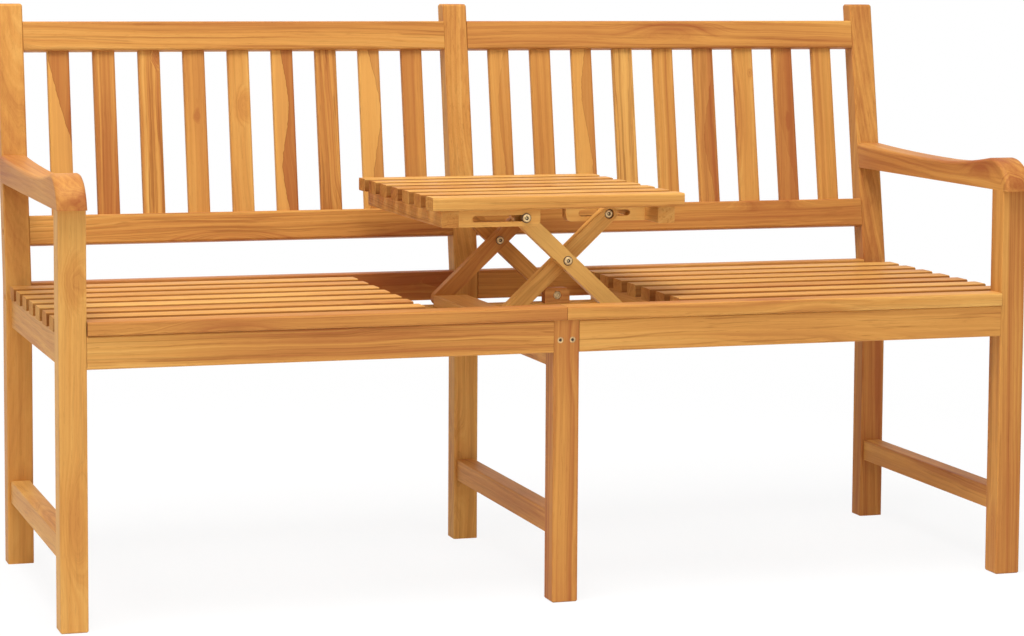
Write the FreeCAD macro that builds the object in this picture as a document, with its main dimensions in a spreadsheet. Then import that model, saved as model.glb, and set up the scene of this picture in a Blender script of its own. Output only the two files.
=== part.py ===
import FreeCAD, Part
import math
import os
import re
import Sketcher
from FreeCAD import Placement, Rotation, Vector

# Garden bench for two with a small slatted table in the middle of the seat. The table stands on a
# double scissor and folds down into a well between the two seats, flush with the seat slats.
# Lengths are in millimetres. They are measured from the left leg's outer face, from the front
# legs' front face and from the ground. The origin is under the middle of the whole bench.

sizes = {
    # A small round is two cuts; this share of its radius is left at the middle corner
    "radiusCut": 0.293,
    # The whole bench
    "originAcross": 750, "originDeep": 298.1,
    "benchSpan": 1500, "legWidth": 40, "legDepth": 38, "sawnEdge": 2,
    # Back posts: upright to the bend, then leaning back to a thinner top
    "postFront": 505, "postDepth": 36, "postTopDepth": 31, "postHeight": 877,
    "bendHeight": 440, "rakeAngle": 9.87, "bendRadius": 120, "postTopRound": 5,
    # Seat
    "seatTop": 441.5, "slatThick": 20, "slatWidth": 39, "slatPitch": 64, "slatRound": 3,
    "seatNose": 3, "seatEnd": 3, "wellLeft": 551, "wellRight": 951, "frontSlatGap": 0.5,
    # Seat frame
    "apronDepth": 22, "apronHeight": 47.5, "sideRailInset": 8, "sideRailWidth": 30,
    "wellBearerWidth": 28, "leftBearerInset": 15, "rightBearerInset": 14,
    "bearerWidth": 30, "bearerBottom": 350, "bearerHead": 20,
    "backRailThick": 26, "backSeatRailBottom": 397, "backSeatRailHeight": 46.5,
    # Low stretchers
    "stretcherWidth": 30, "stretcherHeight": 35, "stretcherBottom": 97, "stretcherInset": 5,
    # Back rest, measured up the slope from the bend of the posts
    "backRailHeight": 46.5, "lowerRailRise": 62.5, "topRailRise": 369.5, "railRound": 3,
    "backSlatWidth": 35, "backSlatThick": 13, "backSlatPitch": 72.5, "backSlatInset": 37.5,
    "backSlatCount": 9,
    # Mortises and tenons
    "tenonLength": 12, "tenonShoulder": 7, "armTenonShoulder": 9, "armTenonHeight": 15,
    # Arm rests
    "armWidth": 43, "armUnder": 599.5, "armOverhang": 15, "armOutset": 3, "armBevel": 3.5, "armEase": 1.2,
    "armCrest": 56, "armHollow": 1210, "armLowPlace": 240, "armLow": 33.5, "armTail": 41.5,
    # Folding table
    "tableLength": 396, "tableSlats": 7, "pinDrop": 33, "raisedAngle": 43,
    "lowerArm": 135, "upperArm": 99, "pivotAcross": 879, "tableToPin": 290.7,
    "endApronInset": 14.5, "endApronThick": 26.5, "tableRailDeep": 25, "endApronFront": 66,
    # Slotted rails under the table and the scissor legs, in layers of one board each
    "layerThick": 18, "layerGap": 1, "firstLayer": 66, "scissorMiddle": 272.5,
    "slottedRailLength": 127, "railCorner": 9, "slotHeight": 9.6,
    "leftSlotStart": 21, "leftSlotLength": 91, "rightSlotStart": 20, "rightSlotLength": 83,
    "legHalf": 12,
    # What the scissor stands on
    "supportWidth": 38, "supportHeight": 22, "supportTop": 395.5,
    "blockLength": 42, "blockHeight": 25, "blockCorner": 6,
    "footLength": 57, "footAhead": 12, "footThick": 18, "footGap": 0.5,
    # Fasteners
    "boltRadius": 4, "boltPlay": 0.06, "boltHead": 7.3, "boltHeadThick": 3.5, "nutDepth": 5,
    "headStand": 3, "pivotGap": 0.3,
    "nutRadius": 6.8, "nutSocket": 7.5, "screwRadius": 3, "screwHead": 4.7, "screwLength": 45,
    "legScrewSpread": 9.5, "legScrewUp": 392.5,
    "postBoltBore": 5.5, "postBoltHead": 5.2, "postBoltSink": 6, "sunkHead": 3,
    "postBoltLength": 60, "postBoltRadius": 3,
    "footScrewLength": 30,
}

document = FreeCAD.newDocument("CompanionBench")
sheet = document.addObject("Spreadsheet::Sheet", "Sizes")
for line, (name, number) in enumerate(sizes.items(), 1):
    sheet.set("A%d" % line, name)
    sheet.set("B%d" % line, str(number))
    sheet.setAlias("B%d" % line, name)
document.recompute()

# Planes of a body, with the direction that each one faces: XY up, XZ to the front, YZ to the right
along_plane = {"X": "YZ_Plane", "Y": "XZ_Plane", "Z": "XY_Plane"}
parts = []


def bound(text):
    """The expression with every size name read from the sheet."""
    return re.sub(r"[A-Za-z]\w*", lambda word: "Sizes." * (word.group() in sizes) + word.group(), text)


def value(text):
    """The number that an expression gives."""
    result = sheet.evalExpression(bound(text))
    return float(getattr(result, "Value", result))


def new_body(label, across, deep, up, axis=None, angle="0"):
    """An empty body standing at a point of the bench, turned by an angle about an axis."""
    body = document.addObject("PartDesign::Body", label)
    body.Label = label
    if axis:
        body.Placement = Placement(Vector(), Rotation(axis, value(angle)))
        body.setExpression("Placement.Rotation.Angle", bound(angle))
    body.setExpression("Placement.Base.x", bound(across + " - originAcross"))
    body.setExpression("Placement.Base.y", bound(deep + " - originDeep"))
    body.setExpression("Placement.Base.z", bound(up))
    parts.append(body)
    return body


def origin_plane(body, role):
    return [feature for feature in body.Origin.OriginFeatures if feature.Role == role][0]


def new_sketch(body, name, role, offset="0"):
    """A sketch on one of the body's own planes, moved along the way that the plane faces."""
    sketch = body.newObject("Sketcher::SketchObject", name)
    sketch.AttachmentSupport = [(origin_plane(body, role), "")]
    sketch.MapMode = "FlatFace"
    sketch.setExpression("AttachmentOffset.Base.z", bound(offset))
    return sketch


def fix(sketch, kind, geometry, place, text):
    """Bind one size of the sketch to the sheet."""
    arguments = [kind, geometry] + ([place] if place else []) + [value(text)]
    index = sketch.addConstraint(Sketcher.Constraint(*arguments))
    sketch.setExpression("Constraints[%d]" % index, bound(text))


def arc_between(start, end, radius, turn):
    """The short arc from start to end, turning left (1) or right (-1)."""
    chord = end - start
    rise = math.sqrt(max(radius ** 2 - chord.Length ** 2 / 4, 0))
    left = Vector(-chord.y, chord.x, 0).normalize()
    centre = (start + end) / 2 + left * rise * turn
    first, last = (start, end) if turn > 0 else (end, start)
    angles = [math.atan2(point.y - centre.y, point.x - centre.x) for point in (first, last)]
    return Part.ArcOfCircle(Part.Circle(centre, Vector(0, 0, 1), radius), *angles)


def outline(sketch, corners, arcs=None):
    """A closed line through the corners. arcs gives the radius and the turn of rounded stretches.

    A half circle also gives where its centre lies across the sketch, which settles it better.
    """
    arcs = arcs or {}
    points = [Vector(value(u), value(v), 0) for u, v in corners]
    first = sketch.GeometryCount
    ends = []
    for index, start in enumerate(points):
        end = points[(index + 1) % len(points)]
        radius, turn = arcs.get(index, (None, 1))[:2]
        if radius:
            sketch.addGeometry(arc_between(start, end, value(radius), turn))
        else:
            sketch.addGeometry(Part.LineSegment(start, end))
        ends.append((1, 2) if turn > 0 else (2, 1))
    for index, (u, v) in enumerate(corners):
        following = (index + 1) % len(points)
        sketch.addConstraint(Sketcher.Constraint(
            "Coincident", first + index, ends[index][1], first + following, ends[following][0]))
        fix(sketch, "DistanceX", first + index, ends[index][0], u)
        fix(sketch, "DistanceY", first + index, ends[index][0], v)
        if len(arcs.get(index, ())) == 3:
            fix(sketch, "DistanceX", first + index, 3, arcs[index][2])
        elif index in arcs:
            fix(sketch, "Radius", first + index, None, arcs[index][0])


def eased_section(sketch, width, height, radius, left="0", low="0"):
    """A rectangle whose corners are planed off in two cuts, close to a small round."""
    u, v = [[start, start + " + radiusCut * " + radius, start + " + " + radius,
             start + " + " + span + " - " + radius, start + " + " + span + " - radiusCut * " + radius,
             start + " + " + span] for start, span in ((left, width), (low, height))]
    outline(sketch, [
        (u[2], v[0]), (u[3], v[0]), (u[4], v[1]), (u[5], v[2]), (u[5], v[3]), (u[4], v[4]),
        (u[3], v[5]), (u[2], v[5]), (u[1], v[4]), (u[0], v[3]), (u[0], v[2]), (u[1], v[1])])


def rectangle(sketch, left, low, width, height):
    right = left + " + " + width
    top = low + " + " + height
    outline(sketch, [(left, low), (right, low), (right, top), (left, top)])


def long_hole(sketch, start, middle, length, height):
    """A slot with round ends."""
    half = height + " / 2"
    low = middle + " - " + half
    high = middle + " + " + half
    begin = start + " + " + half
    stop = start + " + " + length + " - " + half
    outline(sketch, [(begin, low), (stop, low), (stop, high), (begin, high)],
            {1: (half, 1, stop), 3: (half, 1, begin)})


def pad(body, name, sketch, length, reverse=False):
    feature = body.newObject("PartDesign::Pad", name)
    feature.Profile = sketch
    feature.Reversed = reverse
    feature.setExpression("Length", bound(length))
    document.recompute()
    return feature


def pocket(body, name, sketch, depth, along_normal=False):
    feature = body.newObject("PartDesign::Pocket", name)
    feature.Profile = sketch
    feature.Reversed = along_normal
    feature.setExpression("Length", bound(depth))
    document.recompute()
    return feature


def draw_rounds(sketch, centres, radius, corners=0, turn="0"):
    """Circles of one size, or polygons with that many corners on the circle."""
    for index, (u, v) in enumerate(centres):
        if corners:
            steps = ["(%g + %s)" % (360 / corners * number, turn) for number in range(corners)]
            outline(sketch, [("%s + %s * cos%s" % (u, radius, step),
                              "%s + %s * sin%s" % (v, radius, step)) for step in steps])
            continue
        centre = Vector(value(u), value(v), 0)
        sketch.addGeometry(Part.Circle(centre, Vector(0, 0, 1), value(radius)))
        fix(sketch, "DistanceX", index, 3, u)
        fix(sketch, "DistanceY", index, 3, v)
        fix(sketch, "Radius", index, None, radius)


def drill(body, name, role, offset, centres, radius, depth, along_normal=False, corners=0, turn="0"):
    """Holes of one size."""
    sketch = new_sketch(body, name + "Centres", role, offset)
    draw_rounds(sketch, centres, radius, corners, turn)
    return pocket(body, name, sketch, depth, along_normal)


def row(body, name, originals, axis, length, count):
    """The features repeated along an axis of the body. length runs from the first to the last."""
    feature = body.newObject("PartDesign::LinearPattern", name)
    feature.Originals = originals
    feature.Direction = (origin_plane(body, axis + "_Axis"), [""])
    feature.setExpression("Length", bound(length))
    feature.setExpression("Occurrences", bound(count))
    body.Tip = feature
    document.recompute()
    return feature


def dress(body, name, kind, radius, test):
    """Round or bevel the edges of the body that the test picks."""
    base = body.Tip
    edges = ["Edge%d" % (index + 1) for index, edge in enumerate(base.Shape.Edges) if test(edge)]
    feature = body.newObject("PartDesign::" + kind, name)
    feature.Base = (base, edges)
    feature.setExpression("Radius" if kind == "Fillet" else "Size", bound(radius))
    document.recompute()
    return feature


def direction(edge):
    return edge.tangentAt((edge.FirstParameter + edge.LastParameter) / 2)


def board(label, along, length, width, height, at, radius="sawnEdge", axis=None, angle="0"):
    """A straight board with eased long edges. width and height are those of its section."""
    body = new_body(label, *at, axis=axis, angle=angle)
    section = new_sketch(body, "Section", along_plane[along])
    eased_section(section, width, height, radius)
    pad(body, "Board", section, length, reverse=along == "Y")
    return body


def mortise(body, name, role, offset, left, low, width, height, along_normal=False):
    """The hole for the tenon of a piece with this outline."""
    mouth = new_sketch(body, name + "Mouth", role, offset)
    rectangle(mouth, left + " + tenonShoulder", low + " + tenonShoulder",
              width + " - tenonShoulder * 2", height + " - tenonShoulder * 2")
    return pocket(body, name, mouth, "tenonLength", along_normal)


def tenon(body, name, role, offset, low, width, height, reverse=False, length="tenonLength"):
    """A tongue on the end of a board, or through it where the length is longer."""
    tongue = new_sketch(body, name + "Section", role, offset)
    rectangle(tongue, "tenonShoulder", low + " + tenonShoulder",
              width + " - tenonShoulder * 2", height + " - tenonShoulder * 2")
    return pad(body, name, tongue, length, reverse)


# Screws and bolts that nothing turns on and that stay inside the wood have shanks with few sides
hidden_corners = 8
hex_corners = 6

# Places that several pieces share
left_leg = "0"
centre_leg = "benchSpan / 2 - legWidth / 2"
right_leg = "benchSpan - legWidth"
sides = {"left": left_leg, "centre": centre_leg, "right": right_leg}
slat_under = "seatTop - slatThick"
apron_bottom = slat_under + " - apronHeight"
lean_axis = Vector(-1, 0, 0)
swing_axis = Vector(0, -1, 0)
left_bay = "legWidth"
right_bay = "benchSpan / 2 + legWidth / 2"
bays = {"left": left_bay, "right": right_bay}
side_rails = {"left": "sideRailInset", "right": "benchSpan - sideRailInset - sideRailWidth"}
stretchers = {"left": "stretcherInset", "centre": "benchSpan / 2 - stretcherWidth / 2",
              "right": "benchSpan - stretcherInset - stretcherWidth"}
bay_span = "benchSpan / 2 - legWidth * 3 / 2"
rail_middle = "backRailHeight / 2"


def on_slope(deep, rise):
    """A point of the leaning back, from the front foot of a post: across its depth, and up."""
    return ("cos(rakeAngle) * (%s) + sin(rakeAngle) * (%s)" % (deep, rise),
            "bendHeight + cos(rakeAngle) * (%s) - sin(rakeAngle) * (%s)" % (rise, deep))


def post_bolt_places():
    """Where the bolts enter an outer post."""
    places = [("backRailThick / 2", "backSeatRailBottom + backSeatRailHeight / 2")]
    for rise in ("lowerRailRise", "topRailRise"):
        places.append(on_slope("backRailThick / 2", rise + " + " + rail_middle))
    return places


def leg_mortises(body, side, offset, from_rear):
    """Holes in a leg or a post for the stretcher and, at the outer ones, the side seat rail."""
    across = " - (" + sides[side] + ")"
    mortise(body, "StretcherMortise", "XZ_Plane", offset, stretchers[side] + across,
            "stretcherBottom", "stretcherWidth", "stretcherHeight", from_rear)
    if side in side_rails:
        mortise(body, "SideRailMortise", "XZ_Plane", offset, side_rails[side] + across,
                apron_bottom, "sideRailWidth", "apronHeight", from_rear)


def rail_mortises(body):
    """Holes on both sides of the middle post for the rails of the two backs."""
    low, high = "tenonShoulder", "backRailHeight - tenonShoulder"
    front, rear = "tenonShoulder", "backRailThick - tenonShoulder"
    for side, offset, inward in (("Left", "0", True), ("Right", "legWidth", False)):
        mortise(body, "SeatRailMortise" + side, "YZ_Plane", offset, "0", "backSeatRailBottom",
                "backRailThick", "backSeatRailHeight", inward)
        for name, rise in (("LowerRail", "lowerRailRise"), ("TopRail", "topRailRise")):
            mouth = new_sketch(body, name + "Mouth" + side, "YZ_Plane", offset)
            outline(mouth, [on_slope(deep, rise + " + " + up) for deep, up in
                            ((front, low), (rear, low), (rear, high), (front, high))])
            pocket(body, name + "Mortise" + side, mouth, "tenonLength", inward)


def back_post(side):
    """A post sawn from one board, with a bend at seat height and a thinner, rounded top."""
    body = new_body("back_post_" + side, sides[side], "postFront", "0")
    lean = "tan(rakeAngle) * (postHeight - bendHeight)"
    profile = new_sketch(body, "SideView", "YZ_Plane")
    outline(profile, [
        ("0", "0"), ("postDepth", "0"), ("postDepth", "bendHeight"),
        (lean + " + postTopDepth", "postHeight"), (lean, "postHeight"), ("0", "bendHeight")])
    pad(body, "Post", profile, "legWidth")
    bend = value("bendHeight")
    top = value("postHeight")
    crosswise = lambda edge: abs(direction(edge).x) > 0.99
    dress(body, "Bend", "Fillet", "bendRadius",
          lambda edge: crosswise(edge) and abs(edge.CenterOfMass.z - bend) < 1)
    dress(body, "TopRound", "Fillet", "postTopRound",
          lambda edge: crosswise(edge) and edge.CenterOfMass.z > top - 0.1)
    dress(body, "EasedEdges", "Chamfer", "sawnEdge",
          lambda edge: not crosswise(edge) and edge.CenterOfMass.z > 1)
    leg_mortises(body, side, "0", False)
    if side == "centre":
        rail_mortises(body)
        return body
    outer = "0" if side == "left" else "legWidth"
    inward = side == "left"
    drill(body, "BoltHeads", "YZ_Plane", outer, post_bolt_places(), "postBoltBore",
          "postBoltSink", inward)
    drill(body, "BoltHoles", "YZ_Plane", outer, post_bolt_places(), "postBoltRadius",
          "legWidth", inward, hidden_corners)
    return body


def front_leg(side):
    """Outer legs carry the arms, the middle one ends under the front slats."""
    height = slat_under if side == "centre" else "armUnder"
    body = board("front_leg_" + side, "Z", height, "legWidth", "legDepth", (sides[side], "0", "0"))
    dress(body, "FootBevel", "Chamfer", "sawnEdge", lambda edge: edge.CenterOfMass.z < 0.1)
    leg_mortises(body, side, "-legDepth", True)
    if side == "centre":
        drill(body, "ScrewHeads", "XZ_Plane", "0", leg_screw_places, "screwHead", "sunkHead")
        drill(body, "ScrewHoles", "XZ_Plane", "0", leg_screw_places, "screwRadius", "legDepth",
              corners=hidden_corners)
        return body
    tongue = new_sketch(body, "ArmTenonSection", "XY_Plane", "armUnder")
    rectangle(tongue, "armTenonShoulder", "armTenonShoulder", "legWidth - armTenonShoulder * 2",
              "legDepth - armTenonShoulder * 2")
    pad(body, "ArmTenon", tongue, "armTenonHeight")
    return body


# Two screws go through the middle leg into the end of the middle bearer
leg_screw_places = [("legWidth / 2 - legScrewSpread", "legScrewUp"),
                    ("legWidth / 2 + legScrewSpread", "legScrewUp")]


def arm(side):
    """The arm lies on the outer front leg and butts against the leaning face of the post."""
    across = "-armOutset" if side == "left" else right_leg
    body = new_body("arm_" + side, across, "0", "armUnder")
    reach = "(postFront + tan(rakeAngle) * (armUnder - bendHeight))"
    tail = "(" + reach + " + tan(rakeAngle) * armTail)"
    hollow_run = "(armLowPlace - armCrest)"
    crest = "(armLow + armHollow - sqrt(armHollow ^ 2 - " + hollow_run + " ^ 2))"
    nose_run = "(armCrest + armOverhang)"
    # The nose arc runs into the hollow without a corner, and so do the two arcs of the hollow
    turn = "(atan(" + crest + " / " + nose_run + ") + asin(" + hollow_run + " / armHollow))"
    nose = "sqrt(" + crest + " ^ 2 + " + nose_run + " ^ 2) / 2 / sin(" + turn + ")"
    rise = "(armTail - armLow)"
    back = "((" + tail + " - armLowPlace) ^ 2 + " + rise + " ^ 2) / 2 / " + rise
    corners = [("-armOverhang", "0"), (reach, "0"), (tail, "armTail"),
               ("armLowPlace", "armLow"), ("armCrest", crest)]
    arcs = {2: (back, -1), 3: ("armHollow", -1), 4: (nose, 1)}
    profile = new_sketch(body, "SideView", "YZ_Plane")
    outline(profile, corners, arcs)
    pad(body, "Arm", profile, "armWidth")
    end = value(reach) - 1
    along_top = lambda edge: (abs(direction(edge).x) < 0.01 and edge.CenterOfMass.z > 1
                              and edge.CenterOfMass.y < end)
    dress(body, "HandBevel", "Chamfer", "armBevel", along_top)
    # The bevel's own two edges are eased again, which rounds it
    top_of_side = value("armLow") / 2
    dress(body, "HandEase", "Chamfer", "armEase",
          lambda edge: along_top(edge) and edge.Length > top_of_side)
    mouth = new_sketch(body, "LegMortiseMouth", "XY_Plane")
    left = "armTenonShoulder" + (" + armOutset" if side == "left" else "")
    rectangle(mouth, left, "armTenonShoulder", "legWidth - armTenonShoulder * 2",
              "legDepth - armTenonShoulder * 2")
    pocket(body, "LegMortise", mouth, "armTenonHeight", along_normal=True)
    return body


def rail_ends(body, side, low, height, turn):
    """A back rail is bolted to the outer post and tenoned into the middle one.

    turn sets the many-sided hole of a leaning rail level with the bolt.
    """
    bolted, tenoned = ("0", bay_span) if side == "left" else (bay_span, "0")
    tenon(body, "Tenon", "YZ_Plane", tenoned, low, "backRailThick", height,
          reverse=side == "right")
    drill(body, "BoltHole", "YZ_Plane", bolted, [("backRailThick / 2", low + " + " + height + " / 2")],
          "postBoltRadius", "postBoltLength - legWidth + postBoltSink", side == "left",
          hidden_corners, turn)


def back_panel(side):
    """Two leaning rails between the posts, with slats let into mortises in both of them."""
    lean = {"axis": lean_axis, "angle": "rakeAngle"}
    slat_front = "(backRailThick - backSlatThick) / 2"
    for name, rise, mouth in (("lower_back_rail_", "lowerRailRise", "backRailHeight"),
                              ("top_rail_", "topRailRise", "tenonLength")):
        body = new_body(name + side, bays[side], "postFront", "bendHeight", **lean)
        section = new_sketch(body, "Section", "YZ_Plane")
        eased_section(section, "backRailThick", "backRailHeight", "railRound", low=rise)
        pad(body, "Rail", section, bay_span)
        mouths = new_sketch(body, "Mortise", "XY_Plane", rise + " + " + mouth)
        rectangle(mouths, "backSlatInset", slat_front, "backSlatWidth", "backSlatThick")
        first = pocket(body, "SlatMortise", mouths, "tenonLength")
        row(body, "SlatMortises", [first], "X", "backSlatPitch * (backSlatCount - 1)", "backSlatCount")
        rail_ends(body, side, rise, "backRailHeight", "rakeAngle")
    body = new_body("back_slats_" + side, bays[side], "postFront", "bendHeight", **lean)
    foot = "lowerRailRise + backRailHeight - tenonLength"
    section = new_sketch(body, "Section", "XY_Plane", foot)
    eased_section(section, "backSlatWidth", "backSlatThick", "slatRound", "backSlatInset", slat_front)
    first = pad(body, "Slat", section, "topRailRise + tenonLength - (" + foot + ")")
    row(body, "Slats", [first], "X", "backSlatPitch * (backSlatCount - 1)", "backSlatCount")


def back_seat_rail(side):
    """The rail behind the seat, flush with the front of the posts."""
    body = board("back_seat_rail_" + side, "X", bay_span, "backRailThick", "backSeatRailHeight",
                 (bays[side], "postFront", "backSeatRailBottom"))
    rail_ends(body, side, "0", "backSeatRailHeight", "0")
    return body


def seat_frame():
    """Rails from front to back, the aprons, and the bearers on both sides of the table's well."""
    run = "postFront - legDepth"
    through = run + " + tenonLength * 2"
    for side, start in side_rails.items():
        body = board("side_seat_rail_" + side, "Y", run, "sideRailWidth", "apronHeight",
                     (start, "legDepth", apron_bottom))
        tenon(body, "Tenons", "XZ_Plane", "tenonLength", "0", "sideRailWidth", "apronHeight",
              True, through)
    for side, start in bays.items():
        board("front_apron_" + side, "X", bay_span, "apronDepth", "apronHeight",
              (start, "0", apron_bottom))
    well_run = "postFront - apronDepth"
    for side, edge in (("left", "wellLeft - leftBearerInset - wellBearerWidth"),
                       ("right", "wellRight + rightBearerInset")):
        board("well_bearer_" + side, "Y", well_run, "wellBearerWidth", "apronHeight",
              (edge, "apronDepth", apron_bottom))
    for side, start in stretchers.items():
        body = board("stretcher_" + side, "Y", run, "stretcherWidth", "stretcherHeight",
                     (start, "legDepth", "stretcherBottom"))
        tenon(body, "Tenons", "XZ_Plane", "tenonLength", "0", "stretcherWidth", "stretcherHeight",
              True, through)


support_front = "firstLayer + layerThick"
support_rear = "scissorMiddle * 2 - firstLayer - layerThick - supportWidth"


def centre_bearer():
    """The bearer under the well, notched for the two rails that cross it.

    Its front end stands up to the front slats, clear of the table, and takes the leg's screws.
    """
    body = new_body("centre_bearer", "benchSpan / 2 - bearerWidth / 2", "legDepth", "bearerBottom")
    top = "supportTop - bearerBottom"
    floor = top + " - supportHeight"
    front = "(" + support_front + ") - legDepth"
    rear = "(" + support_rear + ") - legDepth"
    profile = new_sketch(body, "SideView", "YZ_Plane")
    outline(profile, [
        ("0", "0"), ("postFront - legDepth", "0"), ("postFront - legDepth", top),
        (rear + " + supportWidth", top), (rear + " + supportWidth", floor), (rear, floor),
        (rear, top), (front + " + supportWidth", top), (front + " + supportWidth", floor),
        (front, floor), (front, top), ("bearerHead", top),
        ("bearerHead", slat_under + " - bearerBottom"), ("0", slat_under + " - bearerBottom")])
    pad(body, "Bearer", profile, "bearerWidth")
    drill(body, "ScrewHoles", "XZ_Plane", "0",
          [(u + " - legWidth / 2 + bearerWidth / 2", v + " - bearerBottom")
           for u, v in leg_screw_places], "screwRadius", "screwLength - legDepth",
          corners=hidden_corners)
    return body


def slat_row(label, start, length, first_row, count):
    """Seat slats side by side, one solid each."""
    body = new_body(label, start, "slatPitch * " + first_row + " - seatNose", slat_under)
    section = new_sketch(body, "Section", "YZ_Plane")
    eased_section(section, "slatWidth", "slatThick", "slatRound")
    first = pad(body, "Slat", section, length)
    row(body, "Slats", [first], "Y", "slatPitch * (" + count + " - 1)", count)


def seat():
    """The front slat meets over the middle leg; the seven behind it stop at the table's well."""
    for side, start in (("left", "legWidth + frontSlatGap"), ("right", "benchSpan / 2 + frontSlatGap")):
        board("front_seat_slat_" + side, "X", bay_span + " + legWidth / 2 - frontSlatGap",
              "slatWidth", "slatThick", (start, "-seatNose", slat_under), radius="slatRound")
    slat_row("seat_slats_left", "seatEnd", "wellLeft - seatEnd", "1", "tableSlats")
    slat_row("seat_slats_right", "wellRight", "benchSpan - seatEnd - wellRight", "1", "tableSlats")


# The scissor at rest, raised. Both frames are alike: the outer one turns on the fixed pivots at the
# right, and the inner one crosses it and stands on the foot board at the left.
pivot_height = "(seatTop - pinDrop)"
middle_across = "pivotAcross - lowerArm * cos(raisedAngle)"
middle_up = pivot_height + " + lowerArm * sin(raisedAngle)"
foot_across = "pivotAcross - lowerArm * cos(raisedAngle) * 2"
pin_up = pivot_height + " + (lowerArm + upperArm) * sin(raisedAngle)"
inner_pin_across = middle_across + " + upperArm * cos(raisedAngle)"
outer_pin_across = middle_across + " - upperArm * cos(raisedAngle)"
table_left = inner_pin_across + " - tableToPin"
table_under = pin_up + " + pinDrop - slatThick"


def layer(number):
    """The front face of a layer of boards, counted from the front: rail, leg, leg, rail."""
    return "firstLayer + (layerThick + layerGap) * %d" % number


def rear_layer(number):
    """The front face of the same layer at the rear, mirrored."""
    return "scissorMiddle * 2 - (" + layer(number) + ") - layerThick"


def table_top():
    """Seven slats on two end aprons."""
    for number in range(sizes["tableSlats"]):
        board("table_slat_%d" % (number + 1), "X", "tableLength", "slatWidth", "slatThick",
              (table_left, "slatPitch * %d - seatNose" % (number + 1), table_under),
              radius="slatRound")
    run = "(scissorMiddle - endApronFront) * 2"
    for side, start in (("left", "endApronInset"),
                        ("right", "tableLength - endApronInset - endApronThick")):
        board("table_apron_" + side, "Y", run, "endApronThick", "tableRailDeep",
              (table_left + " + " + start, "endApronFront", table_under + " - tableRailDeep"))


def slotted_rail(label, side, front):
    """A short rail under the table, with a long slot for the pin and one rounded lower corner."""
    inner = "endApronInset + endApronThick"
    if side == "left":
        start = inner
        slot_start, slot_length = "leftSlotStart", "leftSlotLength"
        corners = [("0", "0"), ("slottedRailLength - railCorner", "0"),
                   ("slottedRailLength", "railCorner"), ("slottedRailLength", "tableRailDeep"),
                   ("0", "tableRailDeep")]
        arcs = {1: ("railCorner", 1)}
    else:
        start = "tableLength - " + inner.replace("+", "-") + " - slottedRailLength"
        slot_start, slot_length = "rightSlotStart", "rightSlotLength"
        corners = [("railCorner", "0"), ("slottedRailLength", "0"),
                   ("slottedRailLength", "tableRailDeep"), ("0", "tableRailDeep"),
                   ("0", "railCorner")]
        arcs = {4: ("railCorner", 1)}
    body = new_body(label, table_left + " + " + start, front, table_under + " - tableRailDeep")
    face = new_sketch(body, "Face", "XZ_Plane")
    outline(face, corners, arcs)
    pad(body, "Rail", face, "layerThick", reverse=True)
    slot = new_sketch(body, "SlotLine", "XZ_Plane")
    long_hole(slot, slot_start, "(tableRailDeep - pinDrop + slatThick)", slot_length, "slotHeight")
    pocket(body, "Slot", slot, "layerThick")
    return body


def scissor_leg(label, frame, front, running, sockets):
    """A leg with round ends. running names the holes with play, sockets the sunk heads and nuts.

    The outer legs' sockets hold nuts, so they have six sides.
    """
    holes = {"low": "0", "middle": "lowerArm", "top": "lowerArm + upperArm"}
    if frame == "outer":
        body = new_body(label, "pivotAcross", front, pivot_height, swing_axis, "180 - raisedAngle")
    else:
        body = new_body(label, foot_across, front, pivot_height, swing_axis, "raisedAngle")
    face = new_sketch(body, "Face", "XZ_Plane")
    long_hole(face, "-legHalf", "0", "lowerArm + upperArm + legHalf * 2", "legHalf * 2")
    pad(body, "Leg", face, "layerThick", reverse=True)
    for name, place in holes.items():
        play = " + boltPlay" if name in running else ""
        radius = "screwRadius" if (frame == "inner" and name == "low") else "boltRadius"
        drill(body, name.capitalize() + "Hole", "XZ_Plane", "0", [(place, "0")], radius + play,
              "layerThick")
    for name, from_front in sockets:
        offset = "0" if from_front else "-layerThick"
        drill(body, name.capitalize() + "Socket", "XZ_Plane", offset, [(holes[name], "0")],
              "nutSocket", "nutDepth", not from_front, hex_corners if frame == "outer" else 0)
    return body


def scissor():
    """Two crossed pairs, one near the front of the table and one near its rear."""
    slotted_rail("slotted_rail_front_left", "left", layer(0))
    slotted_rail("slotted_rail_front_right", "right", layer(3))
    slotted_rail("slotted_rail_rear_left", "left", rear_layer(0))
    slotted_rail("slotted_rail_rear_right", "right", rear_layer(3))
    scissor_leg("outer_leg_front", "outer", layer(1), ["low"], [("top", False)])
    scissor_leg("inner_leg_front", "inner", layer(2), ["low", "middle"],
                [("top", True), ("low", True)])
    scissor_leg("outer_leg_rear", "outer", rear_layer(1), ["low"], [("top", True)])
    scissor_leg("inner_leg_rear", "inner", rear_layer(2), ["low", "middle"],
                [("top", False), ("low", False)])


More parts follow.
